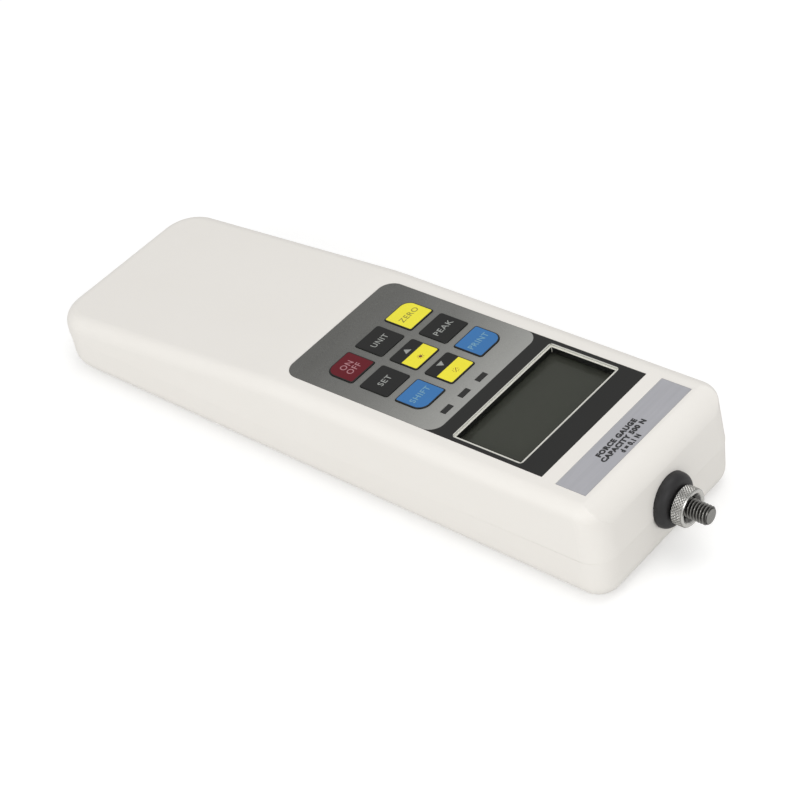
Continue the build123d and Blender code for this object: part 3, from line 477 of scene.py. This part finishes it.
# Each legend's key, words, width and height, and ink.
legends = (
    ("key_zero", "ZERO", (0.0078, 0.0021), olive_ink),
    ("key_unit", "UNIT", (0.0066, 0.0021), pale_ink),
    ("key_power", "ON\nOFF", (0.0054, 0.0052), rose_ink),
    ("key_peak", "PEAK", (0.0078, 0.0021), pale_ink),
    ("key_set", "SET", (0.0050, 0.0021), pale_ink),
    ("key_print", "PRINT", (0.0082, 0.0021), sky_ink),
    ("key_shift", "SHIFT", (0.0080, 0.0021), sky_ink),
)
key_places = {name: key_centre(column, row) for name, column, row, *_ in keypad}
legend_height = key_top + legend_lift


def key_body(key):
    """The body that a key's own pieces ride on."""
    return key.removeprefix("key_") + "_key"


for key, words, size, ink in legends:
    place = on_surface(*key_places[key], legend_height)
    mesh = lettering(words, size, place, legend_weight, legend_spread)
    keep(key + "_legend", mesh, ink, key_body(key))

# The up and down pads carry an arrow, and a lit or a struck-out lamp with rays round it.
arrow_half, arrow_tall = 0.00125, 0.0020
arrow_off, sign_off = -0.0031, 0.0024
bulb_radius, bulb_sides = 0.00055, 24
slash_length, slash_width = 0.0019, 0.0002
ray_count, ray_length, ray_width, ray_start = 8, 0.00035, 0.00016, 0.00075
for key, tip in (("key_up", 1), ("key_down", -1)):
    u, v = key_places[key]
    arrow = [(-arrow_half, -tip * arrow_tall / 2), (arrow_half, -tip * arrow_tall / 2)]
    arrow.append((0, tip * arrow_tall / 2))
    if tip < 0:
        arrow.reverse()
    mesh = flat_shapes([arrow], on_surface(u + arrow_off, v, legend_height))
    keep(key + "_arrow", mesh, pale_ink, key_body(key))
    turns = [math.tau * i / ray_count for i in range(ray_count)]
    rays = [bar(ray_length, ray_width, ray_start, turn) for turn in turns]
    slash = bar(slash_length, slash_width, -slash_length / 2, math.pi / 4)
    lamp = disc(bulb_radius, bulb_sides) if tip > 0 else slash
    mesh = flat_shapes([lamp, *rays], on_surface(u + sign_off, v, legend_height))
    keep(key + "_light_sign", mesh, brown_ink, key_body(key))


# Indicator windows and lamps: three smoked light guides that fill slots of the film, with
# a surface-mounted lamp under each on the main board.
def moulded(name, colour, rough, grain_size=1400.0, depth=0.00003, **constants):
    """A moulded or cast surface: slight shade changes, fine texture, uneven gloss."""
    material, tree, shader = finish_of(name, **constants)
    cloud = noise(tree, 90.0, detail=4.0, roughness=0.6)
    fine = noise(tree, grain_size, detail=3.0)
    feed(
        tree,
        shader,
        Base_Color=mixed(tree, cloud * 0.7 + fine * 0.2, colour, dimmed(colour, 0.78)),
        Roughness=cloud * 0.16 + rough - 0.08,
        Normal=bump(tree, fine, depth, 0.4),
    )
    return material


dress("indicator_windows", moulded("smoked_window", linear(22, 22, 20), 0.22, depth=0.00001))
dress("indicator_lamps", moulded("lamp_resin", linear(214, 214, 205), 0.3))


# Display: a clear window laid on a ledge of the opening, so that the white ledge shows
# as a line all round, with the opening's walls painted near-black as shade in the recess and a
# dark olive display some way below it.
clear_window, tree, shader = finish_of(
    "clear_window", Base_Color=(1, 1, 1, 1), Metallic=1.0, Roughness=0.05
)
through = node(tree, "ShaderNodeBsdfTransparent", {"Color": (0.96, 0.965, 0.955, 1)})
glancing = node(tree, "ShaderNodeLayerWeight", {"Blend": 0.5}, output="Facing")
sheen_start = 0.4
low_angle = ((glancing - sheen_start) / (1 - sheen_start)).high(0)
sheen = low_angle * low_angle * low_angle * 0.5
smear = noise(tree, 55.0, detail=4.0, stretch=(1, 0.5, 1))
both = node(
    tree,
    "ShaderNodeMixShader",
    [sheen * (smear * 0.3 + 0.5), through, Wire(tree, shader.outputs["BSDF"])],
)
tree.links.new(both.socket, tree.nodes["Material Output"].inputs["Surface"])
dress("display_window", clear_window)

ledge_inset = 0.0005
walls_top, walls_foot = -0.00060, -0.0060
opening_half = [half - ledge_inset for half in window_half]
# Below the ledge, the walls of the opening in the white housing are painted near-black as shade
# in the recess.
tree = housing_white.node_tree
u, v, above = on_panel(tree)
opening = outside(u, v, window_place, opening_half, ledge_inset)
depth = above.below(walls_top, 0.00005) * (1 - above.below(walls_foot, 0.0005))
recess_shade = opening.below(soft_edge, sharp_edge) * depth
feed(
    tree,
    tree.nodes["Principled BSDF"],
    Base_Color=mixed(tree, recess_shade, tint, linear(20, 20, 19)),
)

display_olive, tree, shader = finish_of("display_olive", IOR=1.5, Specular_IOR_Level=0.3)
streak = noise(tree, 40.0, stretch=(1, 0.3, 1))
feed(
    tree,
    shader,
    Base_Color=mixed(tree, streak, linear(67, 68, 62), linear(60, 61, 56)),
    Roughness=streak * 0.08 + 0.16,
)
dress("lcd_glass", display_olive)
dress("lcd_frame", plated("frame_plate", linear(170, 170, 166), 0.36, 500.0, (0.1, 1, 1)))
dress("lcd_connectors", moulded("connector_rubber", linear(74, 66, 60), 0.6))


# Circuit boards and what sits on them: glass-epoxy boards in green solder resist, with
# black moulded parts soldered on. The inner screws and the bolt are zinc-plated steel.
board_green, tree, shader = finish_of("board_green", IOR=1.5)
tracks = node(
    tree,
    "ShaderNodeTexBrick",
    {
        "Vector": own_place(tree),
        "Color1": linear(22, 92, 52),
        "Color2": linear(28, 104, 58),
        "Mortar": linear(48, 132, 76),
        "Scale": 260.0,
        "Mortar Size": 0.05,
    },
)
feed(tree, shader, Base_Color=tracks, Roughness=noise(tree, 300.0) * 0.2 + 0.25)
chip_black = moulded("chip_black", linear(40, 40, 40), 0.5)
dress("main_board", board_green)
dress("socket_board", board_green)
for name in ("board_parts", "key_switches"):
    dress(name, chip_black)
board_zinc = plated("board_screw_zinc", linear(190, 190, 184), 0.34)
for name in ("board_screws", "chassis_screws", "cell_bolt"):
    dress(name, board_zinc)


# Load cell and chassis: an S-beam machined from aluminium, bolted to the post of a
# machined and plated steel chassis.
dress("load_cell", plated("cell_aluminium", linear(205, 207, 208), 0.32, 700.0, (0.08, 1, 1)))
dress("chassis", plated("chassis_steel", linear(172, 172, 170), 0.36, 600.0, (0.1, 1, 1)))


# Battery pack: cells in green shrink sleeves, laid in a black moulded tray. Strips of
# nickel are spot-welded from cell to cell.
dress("battery_cells", moulded("cell_sleeve", linear(52, 128, 78), 0.3, depth=0.00001))
dress("battery_tray", moulded("tray_black", linear(46, 46, 46), 0.5))
dress("battery_links", plated("nickel_strip", linear(196, 190, 178), 0.36))


# Sockets in the handle end: a nine-way data socket in a plated shell with its standoffs,
# and a black barrel socket for the charger.
dress("data_socket", plated("socket_shell", linear(190, 190, 186), 0.3))
dress("socket_nuts", plated("standoff_nickel", linear(196, 194, 186), 0.3))
dress("charging_socket", moulded("socket_black", linear(42, 42, 42), 0.4))


def tree_inputs(tree, sizes):
    """Named number inputs for a geometry tree; returns them as wires and identifiers."""
    sockets = {
        name: tree.interface.new_socket(name, in_out="INPUT", socket_type="NodeSocketFloat")
        for name in sizes
    }
    tree.interface.new_socket("Geometry", in_out="OUTPUT", socket_type="NodeSocketGeometry")
    group = tree.nodes.new("NodeGroupInput")
    wires = {name: Wire(tree, group.outputs[name]) for name in sizes}
    return wires, {name: socket.identifier for name, socket in sockets.items()}


def grown(tree, identifiers, sizes):
    """The plain mesh that a geometry tree makes with these sizes."""
    holder = bpy.data.objects.new("grown", bpy.data.meshes.new("grown"))
    bpy.context.scene.collection.objects.link(holder)
    modifier = holder.modifiers.new("grown", "NODES")
    modifier.node_group = tree
    for name, value in sizes.items():
        modifier[identifiers[name]] = value
    evaluated = holder.evaluated_get(bpy.context.evaluated_depsgraph_get())
    mesh = bpy.data.meshes.new_from_object(evaluated)
    holder.modifiers.remove(modifier)
    bpy.data.objects.remove(holder)
    return mesh


def close_tree(tree, geometry, material):
    """Ends a geometry tree with real faces in one material."""
    real = node(tree, "GeometryNodeRealizeInstances", {0: geometry})
    done = node(tree, "GeometryNodeSetMaterial", {"Geometry": real, "Material": material})
    tree.links.new(done.socket, tree.nodes.new("NodeGroupOutput").inputs[0])


contact_gold = plated("contact_gold", linear(214, 178, 96), 0.26)
insert_black = moulded("insert_black", linear(36, 36, 38), 0.45)
contact_sides = 20
contact_rows = ((5, 1), (4, -1))  # how many, and above or below the middle
contact_sizes = {"Pitch": 0.00277, "Row Gap": 0.00284, "Radius": 0.00052, "Depth": 0.00012}
tree = bpy.data.node_groups.new("contact_rows", "GeometryNodeTree")
size, identifiers = tree_inputs(tree, contact_sizes)
contact = node(
    tree,
    "GeometryNodeMeshCylinder",
    {"Vertices": contact_sides, "Radius": size["Radius"], "Depth": size["Depth"]},
)
rows = []
for count, side in contact_rows:
    start_y = size["Pitch"] * (-(count - 1) / 2)
    start = node(tree, "ShaderNodeCombineXYZ", [0.0, start_y, size["Row Gap"] * (side / 2)])
    step = node(tree, "ShaderNodeCombineXYZ", [0.0, size["Pitch"], 0.0])
    rows.append(
        node(
            tree,
            "GeometryNodeMeshLine",
            {"Count": count, "Start Location": start, "Offset": step},
        )
    )
join = tree.nodes.new("GeometryNodeJoinGeometry")
for row in reversed(rows):
    tree.links.new(row.socket, join.inputs[0])
placed = node(
    tree,
    "GeometryNodeInstanceOnPoints",
    {"Points": Wire(tree, join.outputs[0]), "Instance": contact, "Rotation": (0, math.pi / 2, 0)},
)
close_tree(tree, placed, contact_gold)

socket_height = 0.0107
socket_low, socket_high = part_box("data_socket")
mouth = Vector((socket_low.x, (socket_low.y + socket_high.y) / 2, socket_height))
insert_half, insert_tall, insert_taper = 0.0072, 0.0031, 0.0010
insert_outline = [
    (-insert_half, insert_tall),
    (-insert_half + insert_taper, -insert_tall),
    (insert_half - insert_taper, -insert_tall),
    (insert_half, insert_tall),
]
facing_back = Matrix(((0, 0, -1), (1, 0, 0), (0, 1, 0))).to_4x4()
insert = flat_shapes([insert_outline], Matrix.Translation(mouth) @ facing_back)
keep("data_socket_insert", insert, insert_black, "housing")
contacts = grown(tree, identifiers, contact_sizes)
contacts.transform(Matrix.Translation(mouth))
keep("data_socket_contacts", contacts, contact_gold, "housing")


# Capacity label: brushed and metallised film, stuck in a shallow recess. Its three lines
# are printed in black.
label_film, tree, shader = finish_of("label_film", Metallic=0.25, IOR=1.5)
brushed = noise(tree, 900.0, detail=3.0, stretch=(1, 0.06, 1))
cloud = noise(tree, 40.0, detail=3.0)
feed(
    tree,
    shader,
    Base_Color=mixed(
        tree, brushed * 0.6 + cloud * 0.3, linear(182, 182, 187), linear(160, 160, 165)
    ),
    Roughness=brushed * 0.12 + cloud * 0.1 + 0.3,
)
dress("capacity_label", label_film)
label_ink = ink_finish("label_ink", linear(26, 26, 28))
label_weight, label_spread = 0.070, 1.14
letter_tall = 0.0019
label_across = -0.0018
# Each line's name, words, width, and place along the panel.
label_lines = (
    ("label_kind", "FORCE GAUGE", 0.0182, 0.0572),
    ("label_capacity", "CAPACITY 500 N", 0.0204, 0.0596),
    ("label_step", "d = 0.1 N", 0.0084, 0.0620),
)
for name, words, wide, along in label_lines:
    place = on_surface(along, label_across, legend_lift)
    mesh = lettering(words, (wide, letter_tall), place, label_weight, label_spread)
    keep(name, mesh, label_ink, "housing")


# Rubber bushing: a black grommet with a domed flange, moulded in one piece. The end walls
# of both shells grip it, and the shaft passes through.
dress(
    "rubber_bushing",
    moulded("bushing_rubber", linear(36, 35, 36), 0.5, 1700.0, 0.00005, Specular_IOR_Level=0.4),
)


# Measuring shaft: turned in one piece from stainless steel, with a collar inside the
# housing. It ends in the M6 thread of the stud.
axis_height = 0.0165
weld_gap = 0.000002
crease = math.radians(32.0)


def turned(profile, segments):
    """A shape turned about the measuring axis; profile points are (x, radius)."""
    shape = bmesh.new()
    rings = []
    for x, radius in profile:
        turns = range(segments if radius > 0 else 1)
        angles = [math.tau * i / segments for i in turns]
        rings.append(
            [
                shape.verts.new((x, radius * math.cos(a), radius * math.sin(a) + axis_height))
                for a in angles
            ]
        )
    for first, second in zip(rings, rings[1:]):
        for i in range(segments):
            j = (i + 1) % segments
            corners = [first[i % len(first)], second[i % len(second)]]
            corners += [second[j % len(second)], first[j % len(first)]]
            corners = list(dict.fromkeys(corners))
            if len(corners) > 2:
                shape.faces.new(corners)
    return shape


def finished(shape, extra=None):
    """Welds a turned shape, points its faces outwards and keeps its sharp edges."""
    if extra:
        shape.from_mesh(extra)
    bmesh.ops.remove_doubles(shape, verts=shape.verts, dist=weld_gap)
    bmesh.ops.recalc_face_normals(shape, faces=shape.faces)
    for face in shape.faces:
        face.smooth = True
    for edge in shape.edges:
        if len(edge.link_faces) == 2 and edge.calc_face_angle() > crease:
            edge.smooth = False
    mesh = bpy.data.meshes.new("finished")
    shape.to_mesh(mesh)
    shape.free()
    return mesh


def winding(tree, size, cells, around):
    """A strip of cells to be rolled up: its place along the axis, and in turns round it."""
    strip = node(
        tree,
        "GeometryNodeMeshGrid",
        {"Size X": 1.0, "Size Y": 1.0, "Vertices X": cells + 1, "Vertices Y": around + 1},
    )
    x, y, _ = split(tree, node(tree, "GeometryNodeInputPosition"))
    return strip, (x + 0.5) * size["Length"], y + 0.5


def rolled(tree, strip, along, turn, radius, material):
    """Rolls the strip up round the axis and welds its two edges."""
    angle = turn * math.tau
    spot = node(
        tree,
        "ShaderNodeCombineXYZ",
        [
            along,
            radius * angle.math("COSINE", angle),
            radius * angle.math("SINE", angle) + axis_height,
        ],
    )
    moved = node(tree, "GeometryNodeSetPosition", {"Geometry": strip, "Position": spot})
    welded = node(tree, "GeometryNodeMergeByDistance", {"Geometry": moved, "Distance": weld_gap})
    close_tree(tree, welded, material)


def zigzag(turns):
    """0 on a crest and 1 halfway to the next."""
    return 1 - abs(turns.math("FRACT", turns) * 2 - 1)


def cut_below(crest, depth, shade_strength, bore=0.0):
    """Painted shade in the cuts round the measuring axis, none on their crests, and in a bore.

    It ends just under the cuts, so that flat ends stay clean.
    """

    def share(tree):
        _, y, z = split(tree, own_place(tree))
        z = z - axis_height
        radius = (y * y + z * z).root()
        down = (crest - radius) / depth
        return down.high(0) * down.below(1.15, 0.1) * shade_strength + radius.below(bore, 0.0003) * 0.8

    return share


thread_sizes = {
    "Length": 0.0096,
    "Radius": 0.0030,
    "Pitch": 0.0010,
    "Depth": 0.00061,
    "Chamfer": 0.0006,
}
thread_cells, shaft_around = 150, 72
crest_flat, flank = 0.1, 0.78
# The thread's cuts are painted dark as shade.
cut_shade = cut_below(thread_sizes["Radius"], thread_sizes["Depth"], 0.95)
stud_steel = plated("stud_steel", linear(156, 155, 151), 0.26, 1100.0, painted_shade=cut_shade)
tree = bpy.data.node_groups.new("stud_thread", "GeometryNodeTree")
size, identifiers = tree_inputs(tree, thread_sizes)
strip, along, turn = winding(tree, size, thread_cells, shaft_around)
wave = ((zigzag(along / size["Pitch"] - turn) - crest_flat) / flank).low(1).high(0)
tip = size["Radius"] - size["Chamfer"] + (size["Length"] - along)
radius = (size["Radius"] - size["Depth"] * wave).low(tip)
rolled(tree, strip, along, turn, radius, stud_steel)
thread = grown(tree, identifiers, thread_sizes)
stud_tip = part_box("measuring_shaft")[1].x
thread_start = stud_tip - thread_sizes["Length"]
thread.transform(Matrix.Translation((thread_start, 0, 0)))

inner_end, collar_back, collar_front = 0.0745, 0.08435, 0.08835
bevel_start, bevel_end, shoulder = 0.1048, 0.1052, 0.1054
inner_radius, collar_radius, shaft_radius = 0.0039, 0.0062, 0.0040
bevel_radius, root_radius = 0.0036, 0.0024
shaft = turned(
    (
        (inner_end, 0),
        (inner_end, inner_radius),
        (collar_back, inner_radius),
        (collar_back, collar_radius),
        (collar_front, collar_radius),
        (collar_front, shaft_radius),
        (bevel_start, shaft_radius),
        (bevel_end, bevel_radius),
        (shoulder, root_radius),
        (shoulder, 0),
    ),
    shaft_around,
)
shaft.from_mesh(thread)
bmesh.ops.remove_doubles(shaft, verts=shaft.verts, dist=weld_gap)
for x in (thread_start, stud_tip):
    hub = shaft.verts.new((x, 0, axis_height))
    ring = [e for e in shaft.edges if e.is_boundary and abs(e.verts[0].co.x - x) < weld_gap / 2]
    for edge in ring:
        shaft.faces.new((hub, *edge.verts))
shaft_piece = keep("shaft_and_stud", finished(shaft), stud_steel, "shaft")
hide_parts("measuring_shaft")


# Lock nut: nickel-plated brass, knurled round its rim in a diamond pattern, with a
# countersunk mouth. It turns on the stud's thread, against the shaft's shoulder.
nut_low, nut_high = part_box("lock_nut")
rim_sizes = {
    "Length": nut_high.x - nut_low.x,
    "Radius": nut_high.y,
    "Depth": 0.00024,
    "Chamfer": 0.0005,
    "Lead": 0.00105,
    "Teeth": 38.0,
}
rim_cells = 36
rim_around = 8 * round(rim_sizes["Teeth"])
# The knurl's cuts and the nut's bore are painted dark as shade.
dark_bore = 0.0044
cut_shade = cut_below(rim_sizes["Radius"], rim_sizes["Depth"], 0.55, dark_bore)
nut_nickel = plated("nut_nickel", linear(222, 221, 217), 0.22, 1200.0, painted_shade=cut_shade)
tree = bpy.data.node_groups.new("knurled_rim", "GeometryNodeTree")
size, identifiers = tree_inputs(tree, rim_sizes)
strip, along, turn = winding(tree, size, rim_cells, rim_around)
right_cut = zigzag(along / size["Lead"] + turn * size["Teeth"])
left_cut = zigzag(along / size["Lead"] * -1 + turn * size["Teeth"])
cut = right_cut.high(left_cut)
edge = along.low(size["Length"] - along)
slope = size["Radius"] - size["Chamfer"] + edge
radius = (size["Radius"] - size["Depth"] * cut).low(slope)
rolled(tree, strip, along, turn, radius, nut_nickel)
rim = grown(tree, identifiers, rim_sizes)
rim.transform(Matrix.Translation((nut_low.x, 0, 0)))
rim_end = rim_sizes["Radius"] - rim_sizes["Chamfer"]
face_inner, mouth_radius, bore_radius, back_inner = 0.0048, 0.0046, 0.00325, 0.0036
face_bevel, mouth_depth, back_bevel = 0.0002, 0.0014, 0.0004
nut = turned(
    (
        (nut_high.x, rim_end),
        (nut_high.x, face_inner),
        (nut_high.x - face_bevel, mouth_radius),
        (nut_high.x - mouth_depth, bore_radius),
        (nut_low.x + back_bevel, bore_radius),
        (nut_low.x, back_inner),
        (nut_low.x, rim_end),
    ),
    rim_around,
)
nut_piece = keep("knurled_nut", finished(nut, rim), nut_nickel, "nut")
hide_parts("lock_nut")


# Stage: a pale paper floor and three soft boxes. What the camera sees directly is lifted
# to white, which puts no more light on the gauge.
floor_half, floor_drop = 4, 0.0001
floor_lift, room_light = 0.32, 0.58
floor_mesh = bpy.data.meshes.new("floor")
floor_corners = [
    (x * floor_half, y * floor_half, -floor_drop) for x, y in ((-1, -1), (1, -1), (1, 1), (-1, 1))
]
floor_mesh.from_pydata(floor_corners, [], [(0, 1, 2, 3)])
floor = bpy.data.objects.new("floor", floor_mesh)
bpy.context.scene.collection.objects.link(floor)
floor_paper = bpy.data.materials.new("floor_paper")
floor_paper.use_nodes = True
tree = floor_paper.node_tree
tree.nodes.remove(tree.nodes["Principled BSDF"])


def seen_direct(tree):
    """1 for what the camera sees itself or through glass, 0 for the light on things."""
    path = tree.nodes.new("ShaderNodeLightPath").outputs
    return Wire(tree, path["Is Camera Ray"]).high(Wire(tree, path["Is Transmission Ray"]))


matt = node(tree, "ShaderNodeBsdfDiffuse", {"Color": (0.78, 0.78, 0.775, 1)})
glow = node(tree, "ShaderNodeEmission", [(1, 1, 1, 1), seen_direct(tree) * floor_lift])
paper = node(tree, "ShaderNodeAddShader", [matt, glow])
tree.links.new(paper.socket, tree.nodes["Material Output"].inputs["Surface"])
floor_mesh.materials.append(floor_paper)

world = bpy.data.worlds.new("studio")
bpy.context.scene.world = world
world.use_nodes = True
tree = world.node_tree
background = tree.nodes["Background"]
background.inputs["Color"].default_value = (1, 1, 1, 1)
feed(tree, background, Strength=seen_direct(tree) * (1 - room_light) + room_light)

# Each lamp's name, place, width and watts; all face the gauge.
for name, place, size, watts in (
    ("overhead", (0.1, 0.25, 1.1), 0.9, 3.8),
    ("front_right", (1.0, -0.35, 0.55), 0.6, 2.9),
    ("near_fill", (-0.15, -1.1, 0.35), 0.9, 5.0),
):
    lamp = bpy.data.lights.new(name, "AREA")
    lamp.size = size
    lamp.energy = watts
    holder = bpy.data.objects.new(name, lamp)
    holder.location = place
    holder.rotation_mode = "QUATERNION"
    holder.rotation_quaternion = (-Vector(place)).to_track_quat("-Z", "Y")
    bpy.context.scene.collection.objects.link(holder)

bpy.context.scene.view_settings.view_transform = "Standard"
